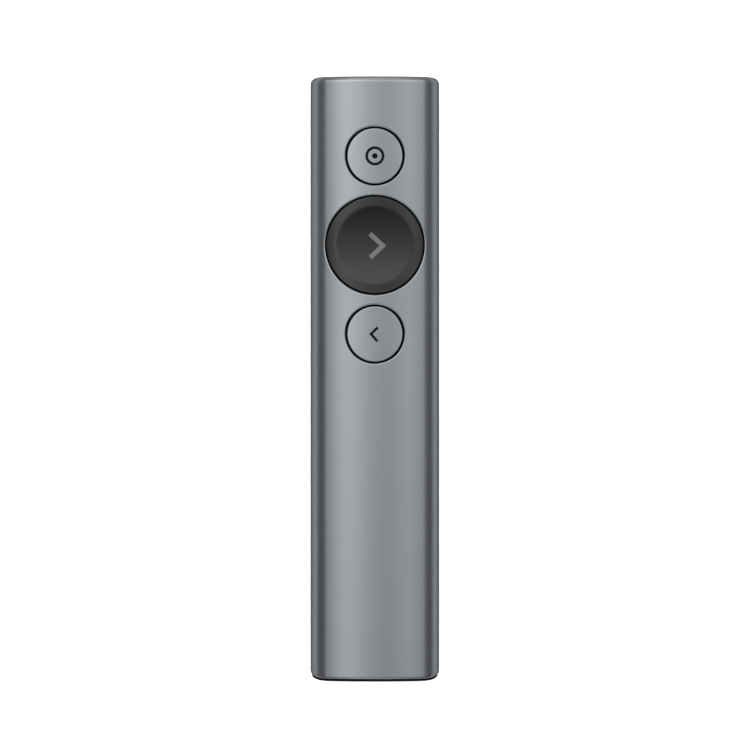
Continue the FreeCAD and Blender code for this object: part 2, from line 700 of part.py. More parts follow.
leads = []
for side, sign in (("left", "-1"), ("right", "1")):
    lead = new_body(f"{side}_lead")
    del parts[f"{side}_lead"]
    end = sketch_across(lead, CELL_NOSE)
    circle(end, f"{sign} * lead_apart / 2", f"{CELL_BOTTOM} + cell_tall / 2", "lead_across / 2")
    straight = pad(lead, end, "lead_bend", back=True)
    riser = sketch_flat(lead, f"{CELL_BOTTOM} + cell_tall / 2")
    circle(riser, f"{sign} * lead_apart / 2", f"{CELL_NOSE} + lead_bend", "lead_across / 2")
    pad(lead, riser, f"{BOARD_BOTTOM} - {CELL_BOTTOM} - cell_tall / 2")
    leads.append(lead)
group("battery_leads", leads)

# Coin motor in its cup

keep("vibration_motor", cylinder("vibration_motor", "motor_across / 2", "motor_tall",
                                 "0", MOTOR_PLACE, FLOOR))

# Button frame: moulded plate on top of the tray, slotted for the hooks of the plungers

LEG_MIDDLES = {
    "pointer": (POINTER_PLACE, "(small_cap_across / 2 - leg_edge - leg_thick - hook_reach)"),
    "next": (NEXT_PLACE, "(next_cap_across / 2 - leg_edge - leg_thick - hook_reach)"),
    "back": (BACK_PLACE, "(small_cap_across / 2 - leg_edge - leg_thick - hook_reach)"),
}
button_frame = new_body("button_frame")
slab = sketch_across(button_frame, FRAME_NOSE)
crowned_oval(slab, TRAY_OUTSIDE)
pad(button_frame, slab, f"{FRAME_NOSE} - {FRAME_TAIL}")
trim = sketch_across(button_frame, FRAME_TAIL)
rectangle(trim, f"-{HALF_WIDTH}", HALF_WIDTH, FRAME_TOP, "crown_height")
rectangle(trim, f"-{HALF_WIDTH}", HALF_WIDTH, "-cut_past", FRAME_BOTTOM)
pocket(button_frame, trim, f"{FRAME_NOSE} - {FRAME_TAIL}")
posts = sketch_flat(button_frame, BOARD_TOP)
for across, along in SCREW_PLACES:
    circle(posts, across, along, "boss_across / 2")
pad(button_frame, posts, f"{FRAME_BOTTOM} - {BOARD_TOP} + frame_thick / 2")
screw_holes = sketch_flat(button_frame, FRAME_TOP)
head_sinks = sketch_flat(button_frame, FRAME_TOP)
for across, along in SCREW_PLACES:
    circle(screw_holes, across, along, "screw_across / 2 + screw_gap")
    circle(head_sinks, across, along, "screw_head_across / 2 + screw_gap")
pocket(button_frame, screw_holes, f"{FRAME_TOP} - {BOARD_TOP}")
pocket(button_frame, head_sinks, "screw_head_tall")
slots = sketch_flat(button_frame, FRAME_TOP)
for place, leg in LEG_MIDDLES.values():
    circle(slots, "0", place, "stem_across / 2 + leg_gap * 2")
    rectangle(slots, "-leg_width / 2 - leg_gap", "leg_width / 2 + leg_gap",
              f"{place} + {leg} - leg_gap", f"{place} + {leg} + leg_thick + leg_gap")
    rectangle(slots, "-leg_width / 2 - leg_gap", "leg_width / 2 + leg_gap",
              f"{place} - {leg} - leg_thick - leg_gap", f"{place} - {leg} + leg_gap")
pocket(button_frame, slots, "frame_thick")

screws = []
for number, (across, along) in enumerate(SCREW_PLACES, start=1):
    head = cylinder(f"screw_head_{number}", "screw_head_across / 2", "screw_head_tall",
                    across, along, f"{FRAME_TOP} - screw_head_tall")
    shank = cylinder(f"screw_shank_{number}", "screw_across / 2", "screw_long - screw_head_tall",
                     across, along, f"{FRAME_TOP} - screw_long")
    screws.append(boolean("Fuse", f"screw_{number}", head, shank))
group("frame_screws", screws)


# Buttons: a metal cap cut to the crown of the sleeve, with a plunger glued in its underside


def crown_bar(name, place, raised):
    """A lying cylinder whose top line is the crown, raised by the amount given."""
    bar = doc.addObject("Part::Cylinder", name)
    bar.Placement = Placement(Vector(0, 0, 0), Rotation(Vector(1, 0, 0), 90))
    bind(bar, Radius=f"crown_radius + {raised}", Height="2 * next_cap_across")
    bind(bar, Placement__Base__x="0", Placement__Base__y=f"{place} + next_cap_across",
         Placement__Base__z="crown_height - crown_radius")
    return bar


def cap(name, place, across, raised="0", dished=False):
    """A round cap with a crowned top, a recess below and, on the large one, a dish."""
    blank = cylinder(name + "_blank", f"{across} / 2", "cap_height + cut_past", "0", place, CAP_BOTTOM)
    top = crown_bar(name + "_crown", place, raised)
    shaped = boolean("Common", name + "_crowned", blank, top)
    if dished:
        cutter = doc.addObject("Part::Cylinder", name + "_dish")
        cutter.Placement = Placement(Vector(0, 0, 0), Rotation(Vector(0, 1, 0), 90))
        bow = f"(crown_radius + {raised})"
        bind(cutter, Radius=bow, Height="2 * next_cap_across")
        bind(cutter, Placement__Base__x="-next_cap_across", Placement__Base__y=place,
             Placement__Base__z=f"crown_height + {raised} + sqrt({bow}^2 - (dish_across / 2)^2)")
        shaped = boolean("Cut", name + "_dished", shaped, cutter)
    recess = cylinder(name + "_recess", f"{across} / 2 - cap_skirt", "cap_height - cap_roof",
                      "0", place, CAP_BOTTOM)
    hollow = boolean("Cut", name + "_hollow", shaped, recess)
    doc.recompute()
    bevelled = doc.addObject("Part::Chamfer", name)
    bevelled.Base = hollow
    bevel = size("cap_edge_bevel")
    limit = size("crown_height") - size("cap_height") + bevel
    bevelled.Edges = [
        (number, bevel, bevel)
        for number, edge in enumerate(hollow.Shape.Edges, start=1)
        if edge.BoundBox.ZMax > limit and edge.BoundBox.XLength > size(across) - 1e-3
        and edge.BoundBox.ZLength > 1e-4
    ]
    return keep(name, bevelled)


def plunger(name, place, leg, across):
    """Disc in the cap's recess, a stem that presses the dome and two hooked legs."""
    body = new_body(name)
    disc = sketch_flat(body, CAP_BOTTOM)
    circle(disc, "0", place, f"{across} / 2 - cap_skirt - glue_gap")
    pad(body, disc, "cap_height - cap_roof")
    stem = sketch_flat(body, f"{BOARD_TOP} + dome_tall + dome_gap")
    circle(stem, "0", place, "stem_across / 2")
    pad(body, stem, f"{CAP_BOTTOM} - {BOARD_TOP} - dome_tall - dome_gap + glue_gap")
    legs = sketch_flat(body, f"{FRAME_BOTTOM} - hook_gap - hook_tall")
    rectangle(legs, "-leg_width / 2", "leg_width / 2",
              f"{place} + {leg}", f"{place} + {leg} + leg_thick")
    rectangle(legs, "-leg_width / 2", "leg_width / 2",
              f"{place} - {leg} - leg_thick", f"{place} - {leg}")
    pad(body, legs, f"{CAP_BOTTOM} - {FRAME_BOTTOM} + hook_gap + hook_tall + glue_gap")
    hooks = sketch_flat(body, f"{FRAME_BOTTOM} - hook_gap - hook_tall")
    rectangle(hooks, "-leg_width / 2", "leg_width / 2",
              f"{place} + {leg}", f"{place} + {leg} + leg_thick + hook_reach")
    rectangle(hooks, "-leg_width / 2", "leg_width / 2",
              f"{place} - {leg} - leg_thick - hook_reach", f"{place} - {leg}")
    pad(body, hooks, "hook_tall")
    return body


def dome(name, place, across):
    """A thin snap dome that stands on the board: a shallow cone with a flat top."""
    shells = []
    for part, inward in (("outer", "0"), ("inner", "dome_sheet")):
        shell = doc.addObject("Part::Cone", f"{name}_{part}")
        bind(shell, Radius1=f"{across} / 2 - 2 * {inward}", Radius2=f"dome_top_across / 2 - {inward}",
             Height=f"dome_tall - {inward}")
        bind(shell, Placement__Base__y=place, Placement__Base__z=BOARD_TOP)
        shells.append(shell)
    return keep(name, boolean("Cut", name, *shells))


cap("pointer_button", POINTER_PLACE, "small_cap_across")
cap("next_button", NEXT_PLACE, "next_cap_across", raised="next_proud", dished=True)
cap("back_button", BACK_PLACE, "small_cap_across")
plunger("pointer_plunger", *LEG_MIDDLES["pointer"], "small_cap_across")
plunger("next_plunger", *LEG_MIDDLES["next"], "next_cap_across")
plunger("back_plunger", *LEG_MIDDLES["back"], "small_cap_across")
dome("pointer_dome", POINTER_PLACE, "small_dome_across")
dome("next_dome", NEXT_PLACE, "next_dome_across")
dome("back_dome", BACK_PLACE, "small_dome_across")

# Receiver: moulded head that fills the tail, with a standard plug on it

receiver_head = new_body("receiver_head")
head = sketch_across(receiver_head, HEAD_ROOT)
crowned_oval(head, HEAD_OUTSIDE)
pad(receiver_head, head, "head_long")
dress(receiver_head, "PartDesign::Chamfer", outer_rim(receiver_head.Shape, -half_length),
      Size="head_bevel")
nail_slot = sketch_across(receiver_head, TAIL)
rectangle(nail_slot, "-nail_slot_long / 2", "nail_slot_long / 2",
          f"{MID_HEIGHT} + nail_slot_rise - nail_slot_wide / 2",
          f"{MID_HEIGHT} + nail_slot_rise + nail_slot_wide / 2")
pocket(receiver_head, nail_slot, "nail_slot_deep")
plug_root = sketch_across(receiver_head, HEAD_ROOT)
rectangle(plug_root, "-plug_wide / 2", "plug_wide / 2",
          f"{MID_HEIGHT} - plug_tall / 2", f"{MID_HEIGHT} + plug_tall / 2")
pocket(receiver_head, plug_root, "plug_root_deep", back=True)
board_root = sketch_across(receiver_head, HEAD_ROOT)
rectangle(board_root, "-plug_wide / 2 + 2 * plug_sheet", "plug_wide / 2 - 2 * plug_sheet",
          f"{MID_HEIGHT} - stick_board_thick - glue_gap", f"{MID_HEIGHT} + glue_gap")
pocket(receiver_head, board_root, "stick_board_root + glue_gap", back=True)

receiver_shell = new_body("receiver_shell")
tube = sketch_across(receiver_shell, PLUG_TIP)
rectangle(tube, "-plug_wide / 2", "plug_wide / 2",
          f"{MID_HEIGHT} - plug_tall / 2", f"{MID_HEIGHT} + plug_tall / 2")
rectangle(tube, "-plug_wide / 2 + plug_sheet", "plug_wide / 2 - plug_sheet",
          f"{MID_HEIGHT} - plug_tall / 2 + plug_sheet", f"{MID_HEIGHT} + plug_tall / 2 - plug_sheet")
pad(receiver_shell, tube, "plug_long + plug_root_deep")
windows = sketch_flat(receiver_shell, f"{MID_HEIGHT} + plug_tall")
for middle in ("-window_apart / 2", "window_apart / 2"):
    rectangle(windows, f"{middle} - window_wide / 2", f"{middle} + window_wide / 2",
              f"{PLUG_TIP} - window_from_tip - window_long", f"{PLUG_TIP} - window_from_tip")
pocket(receiver_shell, windows, "2 * plug_tall")

STICK_HALF = "(plug_wide / 2 - 2 * plug_sheet - glue_gap)"
keep("receiver_board", box(
    "receiver_board", f"-{STICK_HALF}", f"{HEAD_ROOT} - stick_board_root",
    f"{MID_HEIGHT} - stick_board_thick", f"2 * {STICK_HALF}",
    "stick_board_root + plug_long - tongue_end_gap", "stick_board_thick"))
keep("receiver_tongue", box(
    "receiver_tongue", f"-{STICK_HALF}", f"{HEAD_ROOT} + glue_gap",
    f"{MID_HEIGHT} - plug_tall / 2 + plug_sheet", f"2 * {STICK_HALF}",
    "plug_long - tongue_end_gap - glue_gap", "plug_tall / 2 - plug_sheet - stick_board_thick"))
CONTACTS = 4
group("receiver_contacts", [
    box(f"contact_{number}", f"{number - (CONTACTS + 1) / 2} * contact_pitch - contact_wide / 2",
        f"{PLUG_TIP} - contact_from_tip - contact_long", MID_HEIGHT,
        "contact_wide", "contact_long", "contact_thick")
    for number in range(1, CONTACTS + 1)
])

# Check every object, then write each node's file

doc.recompute()
for item in doc.Objects:
    if "Invalid" in item.State or "Error" in item.State:
        raise RuntimeError(f"{item.Name} failed: {item.State}")
for name, item in parts.items():
    if item.Shape.isNull() or not item.Shape.isValid():
        raise RuntimeError(f"{name} has no valid shape")
    if item.Label != name:
        raise RuntimeError(f"{name} is labelled {item.Label}")

os.makedirs("parts", exist_ok=True)
for name, item in parts.items():
    item.Shape.exportStep(f"parts/{name}.step")
    bounds = item.Shape.BoundBox
    print(f"{name}: {len(item.Shape.Solids)} solids, {item.Shape.Volume:.2f} mm3, "
          f"z {bounds.ZMin:.2f} to {bounds.ZMax:.2f}, y {bounds.YMin:.2f} to {bounds.YMax:.2f}")
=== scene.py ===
import math

import bpy
import numpy as np
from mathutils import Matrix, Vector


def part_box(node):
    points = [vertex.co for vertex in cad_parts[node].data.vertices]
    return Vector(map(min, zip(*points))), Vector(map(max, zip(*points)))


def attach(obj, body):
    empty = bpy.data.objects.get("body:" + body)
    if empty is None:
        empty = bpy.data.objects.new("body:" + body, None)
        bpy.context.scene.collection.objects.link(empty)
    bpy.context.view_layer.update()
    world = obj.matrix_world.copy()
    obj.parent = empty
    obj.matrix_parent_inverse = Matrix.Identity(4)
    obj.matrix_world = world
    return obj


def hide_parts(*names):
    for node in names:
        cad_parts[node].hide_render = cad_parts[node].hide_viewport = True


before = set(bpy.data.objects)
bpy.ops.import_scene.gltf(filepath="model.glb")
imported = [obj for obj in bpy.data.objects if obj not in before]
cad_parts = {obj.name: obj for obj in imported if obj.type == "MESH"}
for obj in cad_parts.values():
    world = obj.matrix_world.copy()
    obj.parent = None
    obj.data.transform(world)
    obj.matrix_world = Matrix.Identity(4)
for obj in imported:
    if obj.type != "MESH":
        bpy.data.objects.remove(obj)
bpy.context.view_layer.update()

# Sleeve
# One length of extruded aluminium, blasted and dyed grey. Two wide crowns meet in round sides,
# the ends bow back a little at their corners and are rounded over, and three round openings
# with eased rims are cut through the top face. Lengths are in metres, Y runs to the nose.
MM = 0.001


def box_of(node):
    """The low and the high corner of a node's box."""
    return np.array(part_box(node))


sleeve_low, sleeve_high = box_of("sleeve")
TAIL, NOSE = sleeve_low[1], sleeve_high[1]
HALF_WIDTH = sleeve_high[0]
CROWN_TOP = sleeve_high[2]
LAND_DEPTH = 0.1 * MM
CROWN_RADIUS = 40 * MM
WALL = 1.3 * MM
HALF_THICK = (CROWN_TOP + LAND_DEPTH) / 2
MIDDLE = CROWN_TOP - HALF_THICK
SIDE_RADIUS = ((2 * CROWN_RADIUS * HALF_THICK - HALF_THICK**2 - HALF_WIDTH**2)
               / (2 * (CROWN_RADIUS - HALF_WIDTH)))
SIDE_CENTRE = HALF_WIDTH - SIDE_RADIUS
TANGENT = math.asin(SIDE_CENTRE / (CROWN_RADIUS - SIDE_RADIUS))
CROWN_CENTRE = CROWN_TOP - CROWN_RADIUS
SOLE_CENTRE = CROWN_RADIUS - LAND_DEPTH

NOSE_ROUND = 1.2 * MM
TAIL_ROUND = 0.6 * MM
NOSE_BOW = 0.35 * MM
TAIL_BOW = 1.05 * MM
BOW_POWER = 12
END_REACH = 2.0 * MM
BEFORE_ROUND = 0.1 * MM
RIM_WIDE = 0.3 * MM
RIM_DROP = 0.12 * MM
CAP_GAPS = {"back_button": 0.44 * MM, "next_button": 0.36 * MM, "pointer_button": 0.44 * MM}

EVEN_HALF = 10.4 * MM
PATCH_HALF = 11.45 * MM
PATCH_REACH = 7.4 * MM
ACROSS_STEPS, EDGE_STEPS, SIDE_STEPS, SOLE_STEPS = 44, 5, 48, 24
TAIL_STEPS, ALONG_STEPS, NOSE_STEPS = 12, 52, 4
PATCH_RINGS, INNER_RINGS = 30, 2
RIM_CROWDING = 1.4
ROUND_STEPS, RIM_STEPS = 10, 8

WELD = 0.0001 * MM
WELD_SHIFT = 0.237


def outline(angles, inset):
    """Points (x, z) of the section moved inwards, one for each angle of the normal from Z.

    The section is four tangent arcs. On the crown x is the radius times the sine and z the
    centre plus the radius times the cosine. The sides are the same with the small radius about
    their own centres, and the sole mirrors the crown down to its flat land.
    """
    angles = np.mod(angles, 2 * math.pi)
    sine, cosine = np.sin(angles), np.cos(angles)
    crown = (angles <= TANGENT) | (angles >= 2 * math.pi - TANGENT)
    sole = np.abs(angles - math.pi) <= TANGENT
    radius = np.where(crown | sole, CROWN_RADIUS, SIDE_RADIUS) - inset
    centre_x = np.where(crown | sole, 0, np.sign(sine) * SIDE_CENTRE)
    centre_z = np.where(crown, CROWN_CENTRE, np.where(sole, SOLE_CENTRE, MIDDLE))
    height = centre_z + radius * cosine
    return centre_x + radius * sine, np.maximum(height, np.where(sole, inset, -1))


def crown_angle(x, inset=0):
    """Angle of the top face's normal at x, on the crown or past it on the side's arc.

    It is the arcsine of x over the crown's radius, or past the tangent point the arcsine of
    the distance from the side's centre over the side's radius.
    """
    x = np.asarray(x, dtype=float)
    edge = SIDE_CENTRE + (SIDE_RADIUS - inset) * math.sin(TANGENT)
    on_crown = np.arcsin(np.clip(x / (CROWN_RADIUS - inset), -1, 1))
    past = np.clip((np.abs(x) - SIDE_CENTRE) / (SIDE_RADIUS - inset), -1, 1)
    return np.where(np.abs(x) <= edge, on_crown, np.sign(x) * np.arcsin(past))


def crown_height(x, inset=0):
    """Height of the top face above x, moved inwards by inset."""
    return outline(crown_angle(x, inset), inset)[1]


def quarter_turn(steps):
    """Pairs of the sine and the cosine over a quarter turn in that many steps."""
    turn = np.linspace(0, math.pi / 2, steps + 1)
    return list(zip(np.sin(turn), np.cos(turn)))


def circle_units(steps):
    """Unit vectors round a circle, as one row."""
    turn = np.linspace(0, 2 * math.pi, steps, endpoint=False)
    return np.stack([np.cos(turn), np.sin(turn)], axis=-1)[None]


def raise_to(places, heights):
    """Points from places (x, y) and heights."""
    return np.concatenate([places, heights[..., None]], axis=-1)


class Surface:
    """Collects grids and fans of points, then welds them into one closed mesh."""

    def __init__(self):
        self.points, self.faces, self.count = [], [], 0

    def grid(self, points, closed=False):
        """Four-sided faces over an array of rows, columns and coordinates."""
        rows, columns = points.shape[:2]
        row = np.arange(rows - 1)[:, None] * columns + self.count
        column = np.arange(columns if closed else columns - 1)[None, :]
        following = (column + 1) % columns
        corners = (row + column, row + following, row + columns + following, row + columns + column)
        self.faces.append(np.stack(corners, axis=-1).reshape(-1, 4))
        self.points.append(points.reshape(-1, 3))
        self.count += rows * columns

    def fan(self, rim, middle):
        """Three-sided faces from a closed rim to a middle point."""
        number = len(rim)
        here = np.arange(number)
        corners = (here, (here + 1) % number, np.full(number, number))
        self.faces.append(np.stack(corners, axis=-1) + self.count)
        self.points.append(np.vstack([rim, [middle]]))
        self.count += number + 1

    def mesh(self, name, crease=35):
        """The welded mesh, smooth except where faces meet at more than the crease in degrees.

        Points weld when they fall into the same cell of a fine lattice, which is shifted so
        that round values lie inside its cells.
        """
        points = np.vstack(self.points)
        cells = np.floor(points / WELD + WELD_SHIFT).astype(np.int64)
        _, first, where = np.unique(cells, axis=0, return_index=True, return_inverse=True)
        where = where.reshape(-1)
        corners = [where[faces] for faces in self.faces]
        mesh = bpy.data.meshes.new(name)
        mesh.vertices.add(len(first))
        mesh.vertices.foreach_set("co", points[first].astype(np.float32).ravel())
        loops = np.concatenate([faces.ravel() for faces in corners])
        sides = np.concatenate([np.full(len(faces), faces.shape[1]) for faces in corners])
        mesh.loops.add(len(loops))
        mesh.loops.foreach_set("vertex_index", loops.astype(np.int32))
        mesh.polygons.add(len(sides))
        mesh.polygons.foreach_set("loop_start", (np.cumsum(sides) - sides).astype(np.int32))
        mesh.polygons.foreach_set("use_smooth", np.ones(len(sides), dtype=bool))
        mesh.update(calc_edges=True)
        mesh.validate()
        turn_outwards(mesh)
        mesh.set_sharp_from_angle(angle=math.radians(crease))
        return mesh


def turn_outwards(mesh):
    """Turn the faces over if the volume that they enclose comes out negative.

    The volume has the sign of the sum over the triangles of a dot the cross product of b and c.
    """
    mesh.calc_loop_triangles()
    corners = np.empty(len(mesh.loop_triangles) * 3, dtype=np.int32)
    mesh.loop_triangles.foreach_get("vertices", corners)
    points = np.empty(len(mesh.vertices) * 3, dtype=np.float32)
    mesh.vertices.foreach_get("co", points)
    a, b, c = np.moveaxis(points.reshape(-1, 3)[corners.reshape(-1, 3)].astype(float), 1, 0)
    if np.einsum("ij,ij->", a, np.cross(b, c)) < 0:
        mesh.flip_normals()


def place(name, surface, material, body, replaces=()):
    """Make the object, let it ride on its body and hide the parts that it stands for."""
    piece = bpy.data.objects.new(name, surface.mesh(name))
    bpy.context.scene.collection.objects.link(piece)
    piece.data.materials.append(material)
    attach(piece, body)
    if replaces:
        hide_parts(*replaces)
    return piece


def add_node(nodes, kind, values=None, **settings):
    """A new shader node with its settings, then the values of its inputs."""
    node = nodes.new("ShaderNode" + kind)
    for name, value in settings.items():
        setattr(node, name, value)
    for name, value in (values or {}).items():
        node.inputs[name].default_value = value
    return node


def new_group(name, inputs, outputs):
    """An empty node group with those sockets, and its input and output nodes."""
    group = bpy.data.node_groups.new(name, "ShaderNodeTree")
    for label, value in inputs.items():
        made = group.interface.new_socket(name=label, in_out="INPUT", socket_type="NodeSocketFloat")
        made.default_value = value
    for label, kind in outputs.items():
        group.interface.new_socket(name=label, in_out="OUTPUT", socket_type="NodeSocket" + kind)
    return group, group.nodes.new("NodeGroupInput"), group.nodes.new("NodeGroupOutput")


def grain_group():
    """A fine noise gives a mask and a bumped normal, and a coarse noise a patchy mask."""
    group, inside, outside = new_group("grain", {"Scale": 6000.0, "Depth": 0.1},
                                       {"Mask": "Float", "Patch": "Float", "Normal": "Vector"})
    nodes, links = group.nodes, group.links
    where = add_node(nodes, "TexCoord")
    fine = add_node(nodes, "TexNoise", {"Detail": 2.0})
    coarse = add_node(nodes, "TexNoise", {"Scale": 90.0, "Detail": 3.0})
    bump = add_node(nodes, "Bump", {"Distance": 0.02 * MM})
    links.new(where.outputs["Object"], fine.inputs["Vector"])
    links.new(where.outputs["Object"], coarse.inputs["Vector"])
    links.new(inside.outputs["Scale"], fine.inputs["Scale"])
    links.new(inside.outputs["Depth"], bump.inputs["Strength"])
    links.new(fine.outputs["Fac"], bump.inputs["Height"])
    links.new(fine.outputs["Fac"], outside.inputs["Mask"])
    links.new(coarse.outputs["Fac"], outside.inputs["Patch"])
    links.new(bump.outputs["Normal"], outside.inputs["Normal"])
    return group


MASK_STARTS, MASK_FULL = 0.99, 0.75


def edge_group():
    """The cosine between the true and the rounded normal, spread to a mask of the edges, which carries the
    painted edge highlight.
    """
    group, inside, outside = new_group("edge", {"Radius": 0.15 * MM}, {"Mask": "Float"})
    nodes, links = group.nodes, group.links
    bevel = add_node(nodes, "Bevel", samples=4)
    geometry = add_node(nodes, "NewGeometry")
    cosine = add_node(nodes, "VectorMath", operation="DOT_PRODUCT")
    mask = add_node(nodes, "MapRange", {"From Min": MASK_STARTS, "From Max": MASK_FULL})
    links.new(inside.outputs["Radius"], bevel.inputs["Radius"])
    links.new(bevel.outputs["Normal"], cosine.inputs[0])
    links.new(geometry.outputs["Normal"], cosine.inputs[1])
    links.new(cosine.outputs["Value"], mask.inputs["Value"])
    links.new(mask.outputs["Result"], outside.inputs["Mask"])
    return group


GRAIN = grain_group()
EDGE = edge_group()
ROUGHNESS_SWING = 0.03
# Added lightness of the painted edge highlight, so that it shows on near-black colours.
HIGHLIGHT_ADDED = 0.02


def mixed(nodes, links, first, second, share):
    """One colour mixed into another by a mask. The first is a colour or a node's output."""
    mix = add_node(nodes, "Mix", data_type="RGBA")
    if isinstance(first, tuple):
        mix.inputs["A"].default_value = (*first, 1)
    else:
        links.new(first, mix.inputs["A"])
    mix.inputs["B"].default_value = (*second, 1)
    links.new(share, mix.inputs["Factor"])
    return mix.outputs["Result"]


def finish(name, colour, roughness, metallic=0.0, grain=6000.0, depth=0.1, vary=0.04,
           edge_highlight=0.0, shine=0.5, tint=(1, 1, 1), other=None, where=None):
    """A principled material with grain in its colour, its roughness and its normal.

    Vary is the share by which the grain darkens and lightens the colour, the edge share the amount
    by which edges are painted lighter as a highlight, and other a second colour where a mask of its
    own says so.
    """
    material = bpy.data.materials.new(name)
    material.use_nodes = True
    material.diffuse_color = (*colour, 1)
    nodes, links = material.node_tree.nodes, material.node_tree.links
    shader = nodes["Principled BSDF"]
    shader.inputs["Metallic"].default_value = metallic
    shader.inputs["Specular IOR Level"].default_value = shine
    shader.inputs["Specular Tint"].default_value = (*tint, 1)
    surface = add_node(nodes, "Group", {"Scale": grain, "Depth": depth}, node_tree=GRAIN)
    links.new(surface.outputs["Normal"], shader.inputs["Normal"])
    darker = tuple(part * (1 - vary) for part in colour)
    lighter = tuple(min(1, part * (1 + vary)) for part in colour)
    result = mixed(nodes, links, darker, lighter, surface.outputs["Mask"])
    if other is not None:
        result = mixed(nodes, links, result, other, where(nodes, links))
    # Painted highlight: the edges are made lighter along the edge mask.
    if edge_highlight:
        edge = add_node(nodes, "Group", node_tree=EDGE)
        highlight_colour = tuple(min(1, part * (1 + edge_highlight) + HIGHLIGHT_ADDED * edge_highlight) for part in colour)
        result = mixed(nodes, links, result, highlight_colour, edge.outputs["Mask"])
    links.new(result, shader.inputs["Base Color"])
    swing = add_node(nodes, "MapRange", {"To Min": roughness - ROUGHNESS_SWING,
                                         "To Max": roughness + ROUGHNESS_SWING})
    links.new(surface.outputs["Patch"], swing.inputs["Value"])
    links.new(swing.outputs["Result"], shader.inputs["Roughness"])
    return material


DYED_GREY = (0.108, 0.114, 0.121)
# Tint of the metal's reflection at grazing angles, darker at the rims: painted shade standing in for the
# dark reflection of the floor where the body meets it.
DARK_RIM = (0.32, 0.32, 0.32)
sleeve_metal = finish("sleeve_metal", DYED_GREY, 0.30, metallic=1.0, grain=5200, depth=0.16,
                      vary=0.05, tint=DARK_RIM)


def centre_of(node):
    """The middle (x, y) and the radius of a round node seen from above."""
    low, high = box_of(node)
    middle = (low + high) / 2
    return middle[0], middle[1], (high[0] - low[0]) / 2


def loop_angles(inset):
    """Angles of the normal round the section: the top face by place across, then the rest."""
    inner = np.linspace(-EVEN_HALF, EVEN_HALF, ACROSS_STEPS + 1)
    outer = np.linspace(EVEN_HALF, PATCH_HALF, EDGE_STEPS + 1)[1:]
    top = crown_angle(np.concatenate([-outer[::-1], inner, outer]), inset)
    side = np.linspace(top[-1], math.pi - TANGENT, SIDE_STEPS + 1)[1:]
    sole = np.linspace(math.pi - TANGENT, math.pi + TANGENT, SOLE_STEPS + 1)[1:]
    return top, np.concatenate([side, sole, 2 * math.pi - side[::-1][1:]])


def ring(angles, inset, y, bow=0):
    """The section's outline at a place along the length, as points.

    An end bows back at its corners, by the bow times a high power of x over the half width.
    """
    x, z = outline(angles, inset)
    return np.stack([x, y + bow * (x / HALF_WIDTH) ** BOW_POWER, z], axis=-1)


def border(x_line, y_line):
    """Places (x, y) round the rectangle of two lines."""
    right = np.stack([np.full_like(y_line, x_line[-1]), y_line], axis=-1)
    left = np.stack([np.full_like(y_line, x_line[0]), y_line], axis=-1)
    near = np.stack([x_line, np.full_like(x_line, y_line[0])], axis=-1)
    far = np.stack([x_line, np.full_like(x_line, y_line[-1])], axis=-1)
    return np.vstack([near[:-1], right[:-1], far[::-1][:-1], left[::-1][:-1]])


def directions(places, middle):
    """Unit vectors from a middle to places."""
    away = places - middle
    return away / np.linalg.norm(away, axis=1)[:, None]


def patch(places, middle, radius, rings):
    """Places (x, y) from a round rim out to a border.

    The share of the way out is raised to a power, so that the places crowd near the rim.
    """
    rim = middle + directions(places, middle) * radius
    share = (np.linspace(0, 1, rings + 1) ** RIM_CROWDING)[:, None, None]
    return rim * (1 - share) + places * share


openings = []
for button, gap in CAP_GAPS.items():
    x, y, radius = centre_of(button)
    openings.append((x, y, radius + gap))
edges = [openings[0][1] - PATCH_REACH]
for lower, upper in zip(openings, openings[1:]):
    edges.append((lower[1] + lower[2] + upper[1] - upper[2]) / 2)
edges.append(openings[2][1] + PATCH_REACH)
rows = [np.linspace(TAIL + END_REACH, edges[0], TAIL_STEPS + 1)]
rows += [np.linspace(low, high, ALONG_STEPS + 1) for low, high in zip(edges, edges[1:])]
rows += [np.linspace(edges[3], NOSE - END_REACH, NOSE_STEPS + 1)]


def skin(surface, inset, rings):
    """The sleeve's outer or inner face between its ends, with the three openings."""
    top, rest = loop_angles(inset)
    x_line = outline(top, inset)[0]
    for band in (rows[0], rows[-1]):
        surface.grid(np.stack([ring(top, inset, y) for y in band]))
    for band, (x, y, radius) in zip(rows[1:4], openings):
        grown = radius + (RIM_WIDE if inset == 0 else 0)
        places = patch(border(x_line, band), (x, y), grown, rings)
        surface.grid(raise_to(places, crown_height(places[..., 0], inset)), closed=True)
    whole = np.unique(np.concatenate(rows))
    strip = np.concatenate([top[-1:], rest, top[:1]])
    surface.grid(np.stack([ring(strip, inset, y) for y in whole]))


def opening_wall(surface, band, opening):
    """An opening's eased rim and its wall down to the inner face.

    The rim drops with the square of the share of its width that is crossed.
    """
    x, y, radius = opening
    x_line = outline(loop_angles(0)[0], 0)[0]
    unit = directions(border(x_line, band), (x, y))
    share = np.linspace(0, 1, RIM_STEPS + 1)
    places = (x, y) + unit[None] * (radius + RIM_WIDE * (1 - share))[:, None, None]
    drop = RIM_DROP * share[:, None] ** 2
    surface.grid(raise_to(places, crown_height(places[..., 0]) - drop), closed=True)
    wall = np.repeat(places[-1:], 2, axis=0)
    heights = np.stack([crown_height(wall[0, :, 0]) - RIM_DROP, crown_height(wall[1, :, 0], WALL)])
    surface.grid(raise_to(wall, heights), closed=True)


